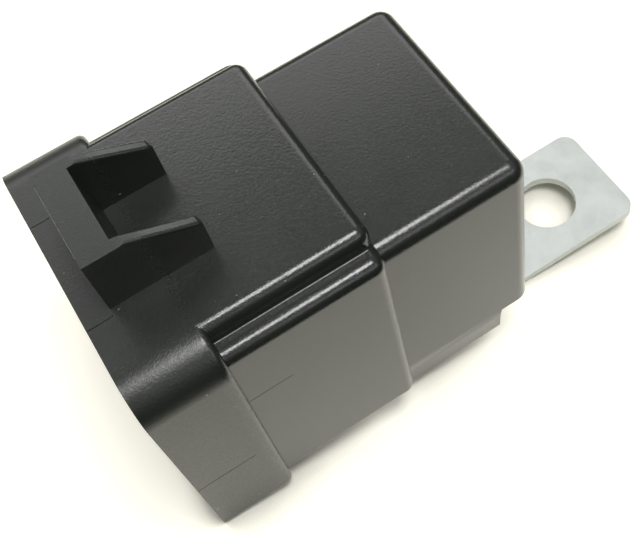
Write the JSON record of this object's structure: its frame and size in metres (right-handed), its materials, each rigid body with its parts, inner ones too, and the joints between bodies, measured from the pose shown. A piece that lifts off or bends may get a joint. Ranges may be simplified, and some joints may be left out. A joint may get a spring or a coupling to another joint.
{
  "type": "automotive relay",
  "caption": "Plug-in automotive changeover relay in a black moulded cover with a shrouded connector mouth, a latch and a sheet-metal mounting bracket.",
  "frame": {"origin": "middle of the footprint, at the level of the underside of the bracket tab", "axes": "+X from the connector mouth to the bracket tab, +Z out of the latch side, +Y to the side"},
  "size_m": [0.0678, 0.034, 0.0505],
  "materials": {
    "cover_plastic": "spark-eroded black nylon with polished edges",
    "galvanised_steel": "galvanised, dull",
    "base_plastic": "black glass-filled nylon",
    "resin": "cast epoxy",
    "tinned_brass": "tin plated",
    "iron": "zinc plated soft iron",
    "bobbin_plastic": "natural nylon",
    "enamelled_copper": "enamelled copper wire",
    "spring_bronze": "rolled bronze",
    "contact_silver": "silver alloy"
  },
  "bodies": {
    "relay": {"housing": "cover_plastic", "bracket": "galvanised_steel", "base": "base_plastic", "sealing_resin": "resin", "terminal_30": "tinned_brass", "terminal_85": "tinned_brass", "terminal_86": "tinned_brass", "terminal_87": "tinned_brass", "terminal_87a": "tinned_brass", "yoke": "iron", "core": "iron", "bobbin": "bobbin_plastic", "winding": "enamelled_copper", "coil_lead_85": "enamelled_copper", "coil_lead_86": "enamelled_copper", "contact_no": "contact_silver", "contact_nc": "contact_silver", "return_spring": "spring_bronze", "spring_rivet": "tinned_brass"},
    "armature_set": {"armature": "iron", "contact_arm": "spring_bronze", "moving_contact": "contact_silver", "arm_rivet_left": "tinned_brass", "arm_rivet_right": "tinned_brass"}
  },
  "joints": [
    {"name": "armature_hinge", "type": "hinge", "parent": "relay", "child": "armature_set", "pos_m": [0.00702, 0, 0.01355], "axis": [0, -1, 0], "range_deg": [0, 2.4], "stiffness_Nm_per_rad": 0.05, "springref_deg": -11.46}
  ]
}
